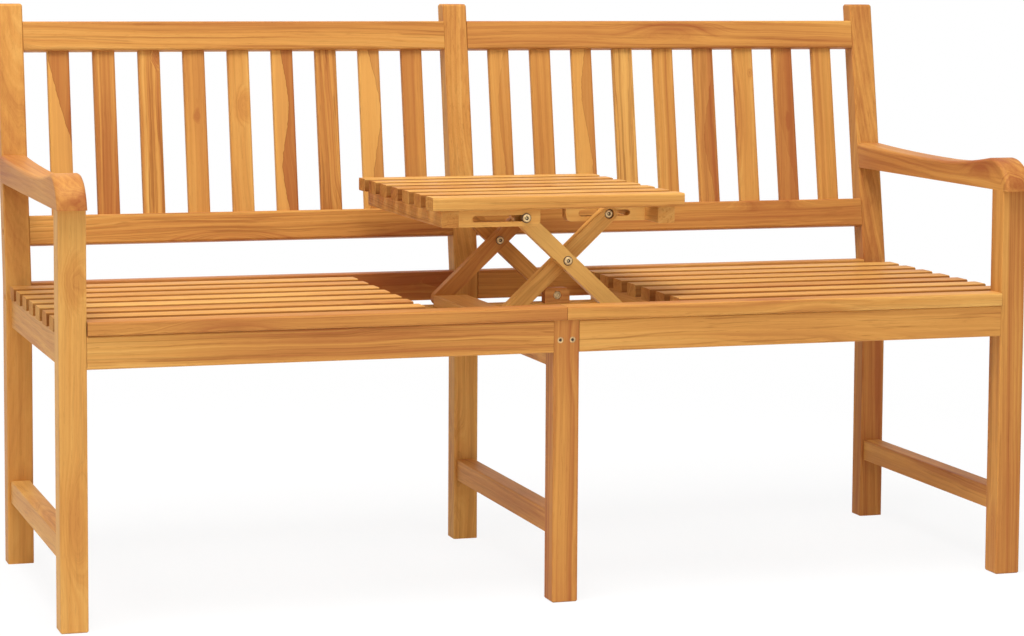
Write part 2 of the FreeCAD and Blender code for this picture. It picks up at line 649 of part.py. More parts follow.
def well_supports():
    """Rails across the well, and the blocks that hold the fixed pivots."""
    left = "wellLeft - leftBearerInset"
    run = "wellRight + rightBearerInset - (" + left + ")"
    for place, front in (("front", support_front), ("rear", support_rear)):
        board("support_rail_" + place, "X", run, "supportWidth", "supportHeight",
              (left, front, "supportTop - supportHeight"))
    for place, front in (("front", layer(2)), ("rear", rear_layer(2))):
        body = new_body("pivot_block_" + place, "pivotAcross - blockLength / 2", front, "supportTop")
        face = new_sketch(body, "Face", "XZ_Plane")
        outline(face, [
            ("0", "0"), ("blockLength", "0"), ("blockLength", "blockHeight - blockCorner"),
            ("blockLength - blockCorner", "blockHeight"), ("blockCorner", "blockHeight"),
            ("0", "blockHeight - blockCorner")], {2: ("blockCorner", 1), 4: ("blockCorner", 1)})
        pad(body, "Block", face, "layerThick", reverse=True)
        centre = [("blockLength / 2", pivot_height + " - supportTop")]
        drill(body, "BoltHole", "XZ_Plane", "0", centre, "boltRadius", "layerThick")
        inner_face = place == "front"
        drill(body, "NutSocket", "XZ_Plane", "-layerThick" if inner_face else "0", centre,
              "nutSocket", "nutDepth", inner_face, hex_corners)


def foot_board():
    """The board that joins the lower ends of the inner legs and slides on the support rails."""
    front = "(" + layer(3) + " - layerGap + footGap)"
    body = new_body("foot_board", foot_across, "scissorMiddle", pivot_height)
    section = new_sketch(body, "Section", "XZ_Plane", "scissorMiddle - " + front)
    eased_section(section, "footLength", "footThick", "sawnEdge", "-footAhead",
                    "(supportTop + footGap - " + pivot_height + ")")
    pad(body, "Board", section, "(scissorMiddle - " + front + ") * 2", reverse=True)
    for name, offset, along in (("FrontHole", "scissorMiddle - " + front, False),
                                ("RearHole", front + " - scissorMiddle", True)):
        drill(body, name, "XZ_Plane", offset, [("0", "0")],
              "screwRadius / cos(180 / %d)" % hidden_corners, "footScrewLength", along,
              hidden_corners)
    return body


def bolt_pair(label, across, up, head, shank_end, nut=None, shank="boltRadius", turn="0"):
    """A bolt near the front and its mirror image near the rear. Places are given in depth."""
    body = new_body(label, across, "scissorMiddle", up)
    half = new_sketch(body, "HalfSection", "YZ_Plane")
    head_radius, head_front, head_back = head
    front, neck, end = [place + " - scissorMiddle" for place in (head_front, head_back, shank_end)]
    outline(half, [(front, "0"), (end, "0"), (end, shank), (neck, shank),
                   (neck, head_radius), (front, head_radius)])
    features = [body.newObject("PartDesign::Revolution", "Bolt")]
    features[0].Profile = half
    features[0].ReferenceAxis = (half, ["H_Axis"])
    features[0].Angle = 360
    document.recompute()
    if nut:
        nut_front, nut_back = nut
        face = new_sketch(body, "NutFace", "XZ_Plane", "scissorMiddle - (" + nut_front + ")")
        draw_rounds(face, [("0", "0")], "nutRadius", hex_corners, turn)
        features.append(pad(body, "Nut", face, nut_back + " - (" + nut_front + ")", reverse=True))
    mirrored = body.newObject("PartDesign::Mirrored", "RearBolt")
    mirrored.Originals = features
    mirrored.MirrorPlane = (origin_plane(body, "XZ_Plane"), [""])
    body.Tip = mirrored
    document.recompute()
    return body


def table_bolts():
    """Every pivot is a bolt with a low round head and a nut, some of them sunk in the wood."""
    rail, outer, inner, right_rail = (layer(number) for number in range(4))
    outer_inside = outer + " + layerThick"
    inner_inside = inner + " + layerThick"
    rail_inside = right_rail + " + layerThick"
    play = " + pivotGap"
    bolt_pair("centre_pivot_bolts", middle_across, middle_up,
              ("boltHead", outer + " - headStand", outer), inner_inside + play,
              (inner_inside + play, inner_inside + " + boltHeadThick"))
    bolt_pair("slot_bolts", outer_pin_across, pin_up,
              ("boltHead", rail + " - pivotGap - boltHeadThick", rail + " - pivotGap"),
              outer_inside + " - nutDepth", (outer_inside + " - nutDepth", outer_inside + " - pivotGap"),
              turn="-raisedAngle")
    bolt_pair("table_pivot_bolts", inner_pin_across, pin_up,
              ("boltHead", inner + " + nutDepth - boltHeadThick", inner + " + nutDepth"),
              rail_inside + play, (rail_inside + play, rail_inside + " + boltHeadThick"))
    bolt_pair("fixed_pivot_bolts", "pivotAcross", pivot_height,
              ("boltHead", outer + " - pivotGap - boltHeadThick", outer + " - pivotGap"),
              inner_inside + " - nutDepth", (inner_inside + " - nutDepth", inner_inside + " - layerGap"))
    bolt_pair("foot_screws", foot_across, pivot_height,
              ("boltHead", inner + " + nutDepth - headStand", inner + " + nutDepth"),
              inner_inside + " + footGap + footScrewLength", shank="screwRadius")


def cross_bolt(body, name, start, centres, head, sink, shank, length, role, sign, head_corners=0):
    """A row of equal bolts: heads sunk below the face, shanks on into the next piece."""
    place = {"Head": (start + " + " + sign + "(" + sink + " - sunkHead)", head, "sunkHead", head_corners),
             "Shank": (start + " + " + sign + "(" + sink + ")", shank, length, hidden_corners)}
    for step, (offset, radius, depth, corners) in place.items():
        sketch = new_sketch(body, name + step + "Centres", role, offset)
        draw_rounds(sketch, centres, radius, corners)
        pad(body, name + step, sketch, depth, reverse=sign == "-")


def frame_fasteners():
    """Bolts through the outer posts into the back rails, and screws through the middle front leg."""
    body = new_body("post_bolts", "0", "postFront", "0")
    places = post_bolt_places()
    for side, start, sign in (("Left", "0", ""), ("Right", "benchSpan", "-")):
        cross_bolt(body, side, start, places, "postBoltHead", "postBoltSink", "postBoltRadius",
                   "postBoltLength", "YZ_Plane", sign, hex_corners)
    body = new_body("leg_screws", centre_leg, "0", "0")
    cross_bolt(body, "Leg", "0", leg_screw_places, "screwHead", "sunkHead", "screwRadius",
               "screwLength - sunkHead", "XZ_Plane", "-")


for side in sides:
    back_post(side)
    front_leg(side)
for side in bays:
    arm(side)
    back_panel(side)
    back_seat_rail(side)
seat_frame()
centre_bearer()
seat()
table_top()
scissor()
well_supports()
foot_board()
table_bolts()
frame_fasteners()
document.recompute()

for item in document.Objects:
    if "Invalid" in item.State or "Error" in item.State:
        raise RuntimeError("%s %s is %s" % (item.Name, item.Label, item.State))
    if item.TypeId == "PartDesign::Pocket" and item.Shape.Volume > item.BaseFeature.Shape.Volume - 1:
        raise RuntimeError("%s cuts nothing" % item.Name)

os.makedirs("parts", exist_ok=True)
for body in parts:
    if body.Shape.isNull() or not body.Shape.isValid():
        raise RuntimeError("%s has no valid shape" % body.Label)
    body.Shape.exportStep("parts/%s.step" % body.Label)
print("%d nodes, %d solids" % (len(parts), sum(len(body.Shape.Solids) for body in parts)))
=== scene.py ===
import bmesh
import bpy
import math
import random
from mathutils import Euler, Matrix, Vector


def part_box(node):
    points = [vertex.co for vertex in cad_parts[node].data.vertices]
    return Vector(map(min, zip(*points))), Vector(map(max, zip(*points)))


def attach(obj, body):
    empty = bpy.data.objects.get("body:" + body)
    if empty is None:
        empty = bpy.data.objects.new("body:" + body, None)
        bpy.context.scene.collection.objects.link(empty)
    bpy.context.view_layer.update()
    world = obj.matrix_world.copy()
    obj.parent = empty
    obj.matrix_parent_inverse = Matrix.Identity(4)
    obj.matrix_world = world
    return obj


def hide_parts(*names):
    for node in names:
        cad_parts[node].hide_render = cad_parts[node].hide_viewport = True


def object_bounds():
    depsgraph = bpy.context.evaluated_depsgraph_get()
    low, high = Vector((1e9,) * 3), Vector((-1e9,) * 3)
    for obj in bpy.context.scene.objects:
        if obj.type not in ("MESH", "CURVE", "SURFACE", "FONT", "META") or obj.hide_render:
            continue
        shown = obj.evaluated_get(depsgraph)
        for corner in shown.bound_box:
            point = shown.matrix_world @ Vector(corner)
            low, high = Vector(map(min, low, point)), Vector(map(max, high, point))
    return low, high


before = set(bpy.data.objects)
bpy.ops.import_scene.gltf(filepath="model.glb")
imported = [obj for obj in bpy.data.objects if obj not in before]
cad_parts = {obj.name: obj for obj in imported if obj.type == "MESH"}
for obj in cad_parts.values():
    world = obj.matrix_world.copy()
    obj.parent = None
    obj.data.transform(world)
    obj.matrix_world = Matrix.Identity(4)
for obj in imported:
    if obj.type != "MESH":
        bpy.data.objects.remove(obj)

# Garden bench for two with a folding table between the seats, in bare teak, on a white floor
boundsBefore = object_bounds()
print("frame loaded:", len(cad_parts), "nodes")


def srgb(red, green, blue):
    # a colour as seen on screen, 0 to 255, turned into the linear one that the nodes take
    def lin(part):
        part = part / 255
        return part / 12.92 if part <= 0.04045 else ((part + 0.055) / 1.055) ** 2.4
    return (lin(red), lin(green), lin(blue), 1.0)


# Camera, solved from the corners of the bench in the photograph's 1024 x 636 frame
view = {
    "place": (-1.4054, -4.3867, 0.9503),   # metres
    "turn": 0.3122,                        # radians to the right of straight ahead
    "dip": 0.0865,
    "tilt": 0.0058,
    "focalPixels": 2953.7,
    "centreDown": 216.0,                   # pixels from the top to where the lens points
    "width": 1024,
    "height": 636,
    "film": 36.0,
}


def makeCamera(v):
    ahead = Vector((math.sin(v["turn"]) * math.cos(v["dip"]), math.cos(v["turn"]) * math.cos(v["dip"]),
                    -math.sin(v["dip"])))
    level = Vector((math.cos(v["turn"]), -math.sin(v["turn"]), 0))
    up = level.cross(ahead)
    right = math.cos(v["tilt"]) * level + math.sin(v["tilt"]) * up
    top = -math.sin(v["tilt"]) * level + math.cos(v["tilt"]) * up
    data = bpy.data.cameras.new("camera")
    data.sensor_width = v["film"]
    data.sensor_fit = "HORIZONTAL"
    data.lens = v["focalPixels"] * v["film"] / v["width"]
    data.shift_y = (v["centreDown"] - v["height"] / 2) / v["width"]
    data.clip_end = 200
    cam = bpy.data.objects.new("camera", data)
    axes = Matrix((right, top, -ahead)).transposed().to_4x4()
    cam.matrix_world = Matrix.Translation(v["place"]) @ axes
    bpy.context.scene.collection.objects.link(cam)
    bpy.context.scene.camera = cam
    return cam


makeCamera(view)
print("camera placed")


# Small helpers for the material nodes
def feed(tree, node, inputs):
    # a link for a socket, a plain value for anything else
    for key, value in inputs.items():
        if isinstance(value, bpy.types.NodeSocket):
            tree.links.new(value, node.inputs[key])
        else:
            node.inputs[key].default_value = value


def addNode(tree, kind, inputs=None, **settings):
    # the settings come first, because they decide which sockets the node has
    node = tree.nodes.new(kind)
    for key, value in settings.items():
        setattr(node, key, value)
    feed(tree, node, inputs or {})
    return node


def maths(tree, operation, a, b=None, c=None, clamp=False):
    inputs = {0: a}
    if b is not None:
        inputs[1] = b
    if c is not None:
        inputs[2] = c
    return addNode(tree, "ShaderNodeMath", inputs, operation=operation, use_clamp=clamp).outputs[0]


def vectors(tree, operation, a, b=None):
    inputs = {0: a}
    if b is not None:
        inputs[1] = b
    node = addNode(tree, "ShaderNodeVectorMath", inputs, operation=operation)
    return node.outputs["Value"] if operation in ("LENGTH", "DOT_PRODUCT") else node.outputs["Vector"]


def rangeOf(tree, value, low, high, newLow=0.0, newHigh=1.0, kind="SMOOTHSTEP"):
    return addNode(tree, "ShaderNodeMapRange", {
        "Value": value, "From Min": low, "From Max": high, "To Min": newLow, "To Max": newHigh},
        interpolation_type=kind).outputs[0]


def mixColours(tree, share, a, b, kind="MIX"):
    node = addNode(tree, "ShaderNodeMix", data_type="RGBA", blend_type=kind, clamp_factor=True)
    feed(tree, node, {0: share, 6: a, 7: b})
    return node.outputs[2]


def noise(tree, where, scale, detail=2.0, rough=0.5):
    return addNode(tree, "ShaderNodeTexNoise", {
        "Vector": where, "Scale": scale, "Detail": detail, "Roughness": rough}).outputs["Fac"]


def newGroup(name, inputs, outputs):
    tree = bpy.data.node_groups.new(name, "ShaderNodeTree")
    for kind, label, value in inputs:
        socket = tree.interface.new_socket(name=label, in_out="INPUT", socket_type=kind)
        if value is not None:
            socket.default_value = value
    for kind, label in outputs:
        tree.interface.new_socket(name=label, in_out="OUTPUT", socket_type=kind)
    return tree, tree.nodes.new("NodeGroupInput").outputs, tree.nodes.new("NodeGroupOutput").inputs


# Light: one wide soft box high at the front left, three weaker ones, and pale surroundings
studio = {
    "surround": 0.38,
    "surroundTint": (1.0, 0.985, 0.96, 1),
    "key": {"place": (-1.0, -1.3, 4.8), "aim": (0.0, 0.0, 0.45), "size": 2.4, "watts": 255},
    "side": {"place": (-4.2, -0.8, 1.9), "aim": (0.0, 0.0, 0.45), "size": 2.6, "watts": 18},
    "fill": {"place": (1.2, -4.6, 2.4), "aim": (0.0, 0.1, 0.4), "size": 3.0, "watts": 44},
    "rim": {"place": (0.5, 3.2, 3.4), "aim": (0.0, 0.0, 0.6), "size": 3.0, "watts": 16},
    "floorSize": 60,
    "floorColour": (0.93, 0.93, 0.93, 1),
    "shadowKept": 0.12,         # how much of the shadow the lens sees on the white floor
    "shadowReach": (1.2, 2.6),  # metres from the bench at which it fades out
}


def softBox(name, place, aim, size, watts):
    lamp = bpy.data.lights.new(name, "AREA")
    lamp.shape = "SQUARE"
    lamp.size = size
    lamp.energy = watts
    obj = bpy.data.objects.new(name, lamp)
    obj.location = place
    obj.rotation_euler = (Vector(aim) - Vector(place)).to_track_quat("-Z", "Y").to_euler()
    bpy.context.scene.collection.objects.link(obj)


def whiteForLens(tree, shader, light, share):
    # what the lens, a mirror or glass sees is white, whatever the light on it
    path = addNode(tree, "ShaderNodeLightPath").outputs
    seen = maths(tree, "MAXIMUM", path["Is Camera Ray"], path["Is Glossy Ray"])
    seen = maths(tree, "MAXIMUM", seen, path["Is Transmission Ray"])
    return addNode(tree, "ShaderNodeMixShader", {
        0: maths(tree, "MULTIPLY", seen, share), 1: shader.outputs[0], 2: light.outputs[0]})


def makeStudio(s):
    world = bpy.data.worlds.new("surroundings")
    bpy.context.scene.world = world
    world.use_nodes = True
    tree = world.node_tree
    tree.nodes.clear()
    lit = addNode(tree, "ShaderNodeBackground", {"Color": s["surroundTint"], "Strength": s["surround"]})
    seen = addNode(tree, "ShaderNodeBackground", {"Color": (1, 1, 1, 1), "Strength": 1.0})
    addNode(tree, "ShaderNodeOutputWorld", {"Surface": whiteForLens(tree, lit, seen, 1.0).outputs[0]})
    for name in ("key", "side", "fill", "rim"):
        softBox(name, **s[name])

    mesh = bpy.data.meshes.new("floor")
    half = s["floorSize"] / 2
    low = boundsBefore[0][2]
    mesh.from_pydata([(-half, -half, low), (half, -half, low), (half, half, low), (-half, half, low)],
                     [], [(0, 1, 2, 3)])
    floor = bpy.data.objects.new("floor", mesh)
    bpy.context.scene.collection.objects.link(floor)
    paint = bpy.data.materials.new("whiteFloor")
    paint.use_nodes = True
    tree = paint.node_tree
    tree.nodes.clear()
    matt = addNode(tree, "ShaderNodeBsdfDiffuse", {"Color": s["floorColour"]})
    glow = addNode(tree, "ShaderNodeEmission", {"Strength": 1.0})
    where = addNode(tree, "ShaderNodeTexCoord").outputs["Object"]
    fade = rangeOf(tree, vectors(tree, "LENGTH", where), *s["shadowReach"], 1 - s["shadowKept"], 1.0)
    addNode(tree, "ShaderNodeOutputMaterial", {
        "Surface": whiteForLens(tree, matt, glow, fade).outputs[0]})
    mesh.materials.append(paint)


makeStudio(studio)
bpy.context.scene.view_settings.view_transform = "Standard"
print("studio lit")


# Teak: rings round a pith beside the board, so the pattern runs through it and shows on its ends
teak = {
    "pale": srgb(217, 166, 91),
    "golden": srgb(201, 142, 72),
    "brown": srgb(162, 94, 50),
    "line": srgb(128, 68, 29),
    "sap": srgb(224, 168, 90),
    "ringSpacing": 0.0075,      # metres
    "slopes": (0.07, 0.05),     # how far the grain runs out of the board, across and deep
    "pithAcross": (-0.07, 0.07),
    "pithDeep": (0.02, 0.09),
    "knotPush": 0.022,          # how far a knot and an eye push the rings aside
    "eyePush": 0.03,
    "veinFineness": 230.0,
    "roughness": 0.48,
    "shine": 0.07,
    "bump": (0.18, 0.0006),     # strength, then depth in metres
    "endShade": 0.26,
    # how many cells to the metre, along the board, across and deep
    "wander": (1.3, 7.0, 7.0),
    "tremble": (9.0, 50.0, 50.0),
    "knots": (2.6, 11.0, 11.0),
    "patches": (1.4, 11.0, 11.0),
    "streaks": (2.2, 120.0, 120.0),
    "fibres": (16.0, 700.0, 700.0),
    "pores": (60.0, 1600.0, 1600.0),
}


def makeTeakGroup(t):
    colour, number, vector = "NodeSocketColor", "NodeSocketFloat", "NodeSocketVector"
    tree, given, result = newGroup("teakGrain", [
        (vector, "Along Board", None), (vector, "End Axis", None), (number, "Across", 0.0),
        (number, "Seed", 0.0), (number, "Tone", 0.0), (number, "Figure", 1.0), (number, "Two Tone", 0.0),
        (number, "Side", 1.0), (number, "Eye", 0.0), (number, "Gap Shade", 0.0),
        (number, "End Shade", t["endShade"]),
        (colour, "Pale", t["pale"]), (colour, "Golden", t["golden"]), (colour, "Brown", t["brown"]),
        (colour, "Line", t["line"]), (colour, "Sap", t["sap"])],
        [(colour, "Colour"), (number, "Roughness"), (number, "Height")])
    half = (0.5, 0.5, 0.5)

    def times(a, b, clamp=False):
        return maths(tree, "MULTIPLY", a, b, clamp=clamp)

    def plus(a, b):
        return maths(tree, "ADD", a, b)

    def minus(a, b):
        return maths(tree, "SUBTRACT", a, b)

    def timesPlus(a, b, c):
        return maths(tree, "MULTIPLY_ADD", a, b, c)

    def ramped(*values, kind="SMOOTHSTEP"):
        return rangeOf(tree, *values, kind=kind)

    def parts(where):
        return addNode(tree, "ShaderNodeSeparateXYZ", {0: where}).outputs

    def clouds(cells, detail, rough=0.5):
        return noise(tree, vectors(tree, "MULTIPLY", place, cells), 1.0, detail, rough)

    def seeded(value, share):
        return plus(value, times(given["Seed"], share))

    # every board is cut from its own place in the log
    dice = addNode(tree, "ShaderNodeTexWhiteNoise", {"W": given["Seed"]}, noise_dimensions="1D")
    shift = vectors(tree, "MULTIPLY", dice.outputs["Color"], (40.0, 30.0, 20.0))
    place = vectors(tree, "ADD", given["Along Board"], shift)
    cell = parts(given["Along Board"])
    roll = parts(dice.outputs["Color"])

    # the grain wanders slowly along the board and trembles a little
    def sway(cells, reach, detail):
        cloud = addNode(tree, "ShaderNodeTexNoise", {
            "Vector": vectors(tree, "MULTIPLY", place, cells), "Scale": 1.0, "Detail": detail})
        return vectors(tree, "MULTIPLY", vectors(tree, "SUBTRACT", cloud.outputs["Color"], half),
                       (0.0, reach, reach))

    wander = sway(t["wander"], 0.036, 1.0)
    tremble = sway(t["tremble"], 0.0055, 3.0)
    slopeAcross = times(minus(roll[0], 0.5), t["slopes"][0])
    slopeDeep = times(minus(roll[1], 0.5), t["slopes"][1])
    across = plus(cell[1], times(cell[0], slopeAcross))
    deep = plus(cell[2], times(cell[0], slopeDeep))
    across = plus(across, ramped(roll[2], 0, 1, *t["pithAcross"], kind="LINEAR"))
    deep = plus(deep, ramped(roll[0], 0, 1, *t["pithDeep"], kind="LINEAR"))
    flat = addNode(tree, "ShaderNodeCombineXYZ", {"Y": across, "Z": deep}).outputs[0]
    flat = vectors(tree, "ADD", vectors(tree, "ADD", flat, wander), tremble)
    radius = vectors(tree, "LENGTH", flat)

    # a knot here and there pushes the rings aside, and an eye makes ovals of them
    knots = addNode(tree, "ShaderNodeTexVoronoi", {
        "Vector": vectors(tree, "MULTIPLY", place, t["knots"]), "Scale": 1.0})
    knot = ramped(knots.outputs["Distance"], 0.34, 0.0)
    radius = minus(radius, times(knot, t["knotPush"]))
    radius = timesPlus(given["Eye"], -t["eyePush"], radius)

    # uneven bands of growth, then a thin dark line at the end of some rings
    bands = addNode(tree, "ShaderNodeTexNoise", {
        "W": seeded(times(radius, 150.0), 5.3),
        "Scale": 1.0, "Detail": 4.0, "Roughness": 0.62}, noise_dimensions="1D").outputs["Fac"]
    rings = plus(maths(tree, "DIVIDE", radius, t["ringSpacing"]), times(bands, 3.0))
    phase = maths(tree, "FRACT", rings)
    ringDice = addNode(tree, "ShaderNodeTexWhiteNoise", {
        "W": seeded(maths(tree, "FLOOR", rings), 3.7)}, noise_dimensions="1D")
    strength = ramped(ringDice.outputs["Value"], 0.35, 1.0, 0.0, 1.0, kind="LINEAR")
    late = times(maths(tree, "POWER", phase, 4.0), ramped(phase, 0.88, 1.0, 1.0, 0.0))
    late = times(late, strength)

    # thin dark veins that follow the wandering grain
    bent = parts(flat)
    veinPlace = addNode(tree, "ShaderNodeCombineXYZ", {
        "X": timesPlus(cell[0], 3.0, times(given["Seed"], 1.7)),
        "Y": times(bent[1], t["veinFineness"]), "Z": times(bent[2], t["veinFineness"])}).outputs[0]
    veins = ramped(noise(tree, veinPlace, 1.0, 2.0, 0.6), 0.54, 0.66)
    veins = times(veins, ramped(given["Figure"], 0.5, 1.5, 0.1, 0.75))

    # broad patches, streaks along the board, fibres and pores
    patch = clouds(t["patches"], 2.0)
    streak = clouds(t["streaks"], 3.0, 0.55)
    fibre = clouds(t["fibres"], 2.0, 0.6)
    pore = clouds(t["pores"], 1.0)
    pores = times(ramped(pore, 0.6, 0.72), ramped(phase, 0.1, 0.6, 1.0, 0.3))

    # how dark the wood is here, from 0 for pale to 1 for brown
    tone = times(minus(bands, 0.5), given["Figure"])
    for share, amount in ((0.6, minus(streak, 0.5)), (1.6, minus(patch, 0.5)), (0.3, knot),
                          (0.3, ramped(given["Eye"], 0.0, 0.7))):
        tone = timesPlus(amount, share, tone)
    tone = plus(plus(tone, given["Tone"]), 0.42)
    base = mixColours(tree, ramped(tone, 0.0, 0.5, kind="LINEAR"), given["Pale"], given["Golden"])
    base = mixColours(tree, ramped(tone, 0.5, 1.1, kind="LINEAR"), base, given["Brown"])
    lines = times(late, ramped(given["Figure"], 0.5, 1.5, 0.15, 0.95), clamp=True)
    for share, paint in ((lines, "Line"), (times(veins, 0.6), "Line"),
                         (times(ramped(fibre, 0.5, 0.8), 0.2), "Brown"), (times(pores, 0.3), "Line")):
        base = mixColours(tree, share, base, given[paint])

    # some boards hold the edge of the heart: a wavy line, pale on one side and browner on the other
    def wave(scale, detail, reach):
        cloud = addNode(tree, "ShaderNodeTexNoise", {
            "W": seeded(times(cell[0], scale), 3.1),
            "Scale": 1.0, "Detail": detail}, noise_dimensions="1D").outputs["Fac"]
        return times(minus(cloud, 0.5), reach)

    level = plus(given["Across"], plus(wave(5.0, 0.0, 0.055), wave(60.0, 3.0, 0.004)))
    level = times(level, given["Side"])
    outside = ramped(level, -0.0006, 0.0006)
    rim = ramped(maths(tree, "ABSOLUTE", level), 0.0, 0.0012, 1.0, 0.0)
    for part, share, paint in ((outside, 0.5, "Sap"), (minus(1.0, outside), 0.4, "Brown"),
                               (rim, 0.55, "Line")):
        base = mixColours(tree, times(times(part, given["Two Tone"]), share), base, given[paint])

    # sawn ends drink more and look darker; part of this darkening is painted shade, set deeper for the
    # slat ends shaded under the table
    normal = addNode(tree, "ShaderNodeTexCoord").outputs["Normal"]
    ends = vectors(tree, "DOT_PRODUCT", normal, given["End Axis"])
    ends = ramped(maths(tree, "ABSOLUTE", ends), 0.8, 0.95)
    base = mixColours(tree, times(ends, given["End Shade"]), base, given["Brown"], "MULTIPLY")

    # painted shade: the narrow front sides of slats behind a gap are darkened towards the line colour,
    # standing in for the shade that falls in the gaps
    sides = times(ramped(parts(normal)[1], -0.5, -0.95), given["Gap Shade"])
    base = mixColours(tree, sides, base, given["Line"], "MULTIPLY")
    height = minus(times(fibre, 0.5), plus(times(pores, 0.8), times(late, 0.3)))
    gloss = plus(times(fibre, 0.16), t["roughness"] - 0.08)
    tree.links.new(base, result["Colour"])
    tree.links.new(plus(gloss, times(ends, 0.2)), result["Roughness"])
    tree.links.new(height, result["Height"])
    return tree


teakGroup = makeTeakGroup(teak)

rake = math.radians(9.87)      # how far the back leans
scissorOpen = 43               # degrees of the raised scissor legs
grainTurns = {
    "x": (0, 0, 0),
    "y": (0, 0, -math.pi / 2),
    "z": (0, math.pi / 2, 0),
}


def boardPicker(tree, number, looks):
    # one step of a colour ramp for each board of the row: tone, figure and two tone
    middle = maths(tree, "DIVIDE", maths(tree, "ADD", number, 0.5), float(len(looks)))
    ramp = addNode(tree, "ShaderNodeValToRGB", {"Fac": middle})
    stops = ramp.color_ramp
    stops.interpolation = "CONSTANT"
    for index, look in enumerate(looks):
        stop = stops.elements[index] if index < 2 else stops.elements.new(index / len(looks))
        stop.position = index / len(looks)
        tone, figure, twoTone = look
        stop.color = (0.5 + tone, figure / 2, twoTone, 1)
    return addNode(tree, "ShaderNodeSeparateXYZ", {0: ramp.outputs["Color"]}).outputs


def eyeMask(tree, where, eyes):
    # 1 in the middle of an oval figure, 0 outside it: (middle, half sizes) in metres
    cloud = addNode(tree, "ShaderNodeTexNoise", {"Vector": where, "Scale": 60.0, "Detail": 2.0})
    sway = vectors(tree, "SUBTRACT", cloud.outputs["Color"], (0.5, 0.5, 0.5))
    where = vectors(tree, "ADD", where, vectors(tree, "MULTIPLY", sway, (0.01, 0.0, 0.014)))
    best = 0.0
    for middle, half in eyes:
        away = vectors(tree, "DIVIDE", vectors(tree, "SUBTRACT", where, middle), half)
        inside = maths(tree, "SUBTRACT", 1.0, vectors(tree, "LENGTH", away))
        best = maths(tree, "MAXIMUM", best, inside, clamp=True)
    return best


def teakMaterial(name, centre, turn, seed, tone=0.0, figure=1.0, twoTone=0.0, rows=None, looks=None,
                 side=1.0, eyes=(), gapShade=0.0, endShade=teak["endShade"]):
    # rows: (axis number, start, pitch) where one node holds boards side by side
    paint = bpy.data.materials.new(name)
    paint.use_nodes = True
    tree = paint.node_tree
    surface = tree.nodes["Principled BSDF"]
    where = addNode(tree, "ShaderNodeTexCoord").outputs["Object"]
    local = vectors(tree, "SUBTRACT", where, tuple(centre))
    local = addNode(tree, "ShaderNodeVectorRotate", {"Vector": local, "Rotation": turn},
                    rotation_type="EULER_XYZ").outputs[0]
    endAxis = Euler(turn).to_matrix().inverted() @ Vector((1, 0, 0))
    acrossBoard = addNode(tree, "ShaderNodeSeparateXYZ", {0: local}).outputs[2]
    if rows:
        axis, start, pitch = rows
        along = addNode(tree, "ShaderNodeSeparateXYZ", {0: where}).outputs[axis]
        steps = maths(tree, "DIVIDE", maths(tree, "SUBTRACT", along, start), pitch)
        number = maths(tree, "FLOOR", steps)
        centred = maths(tree, "SUBTRACT", maths(tree, "FRACT", steps), 0.5)
        acrossBoard = maths(tree, "MULTIPLY", centred, pitch)
        seed = maths(tree, "ADD", maths(tree, "MULTIPLY", number, 7.31), seed)
        picks = boardPicker(tree, number, looks)
        tone = maths(tree, "ADD", maths(tree, "SUBTRACT", picks[0], 0.5), tone)
        figure = maths(tree, "MULTIPLY", picks[1], 2.0)
        twoTone = picks[2]
    grain = addNode(tree, "ShaderNodeGroup", node_tree=teakGroup)
    feed(tree, grain, {
        "Along Board": local, "End Axis": tuple(endAxis), "Across": acrossBoard, "Seed": seed,
        "Tone": tone, "Figure": figure, "Two Tone": twoTone, "Side": side,
        "Eye": eyeMask(tree, where, eyes) if eyes else 0.0,
        "Gap Shade": gapShade, "End Shade": endShade})
    strength, depth = teak["bump"]
    bump = addNode(tree, "ShaderNodeBump", {
        "Strength": strength, "Distance": depth, "Height": grain.outputs["Height"]})
    tree.links.new(grain.outputs["Colour"], surface.inputs["Base Color"])
    tree.links.new(grain.outputs["Roughness"], surface.inputs["Roughness"])
    tree.links.new(bump.outputs[0], surface.inputs["Normal"])
    surface.inputs["Specular IOR Level"].default_value = teak["shine"]
    return paint


def turnOf(node):
    # how to turn a board so that its grain lies along X
    if node.startswith("back_slats"):
        return (Euler(grainTurns["z"]).to_matrix() @ Matrix.Rotation(rake, 3, "X")).to_euler()[:]
    if node.startswith("inner_leg"):
        return (0, math.radians(scissorOpen), 0)
    if node.startswith("outer_leg"):
        return (0, math.radians(180 - scissorOpen), 0)
    if node.startswith(("back_post", "front_leg")):
        return grainTurns["z"]
    if node.startswith(("side_seat", "stretcher", "arm_", "well_bearer", "centre_bearer", "table_apron",
                        "foot_board")):
        return grainTurns["y"]
    return grainTurns["x"]


